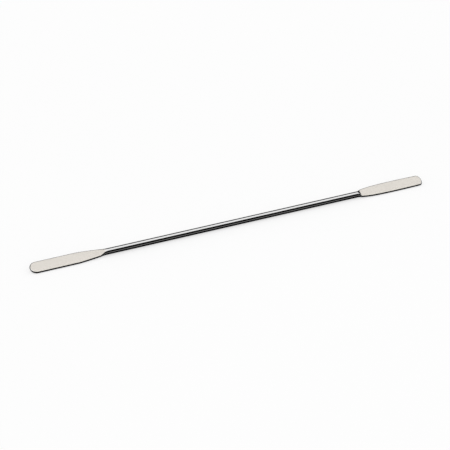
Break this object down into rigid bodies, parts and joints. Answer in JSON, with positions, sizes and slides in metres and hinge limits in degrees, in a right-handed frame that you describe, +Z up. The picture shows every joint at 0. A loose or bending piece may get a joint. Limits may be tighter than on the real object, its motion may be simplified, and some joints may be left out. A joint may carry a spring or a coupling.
{
  "type": "lab micro spatula",
  "caption": "Slim double-ended spatula pressed from round steel rod, with a round-tipped and a square-tipped flat blade, for scooping and moving small amounts of powder.",
  "frame": {"origin": "On the bench under the rod, midway between the two tips", "axes": "+X along the rod from the round tip to the square tip, +Z up from the bench, -Y towards the long blade edges that touch the bench"},
  "size_m": [0.2, 0.0058, 0.003],
  "materials": {
    "stainless_steel": "Bright polished rod and edges, with fine satin-ground blade faces"
  },
  "bodies": {
    "root": {"spatula": "stainless_steel"}
  },
  "joints": []
}
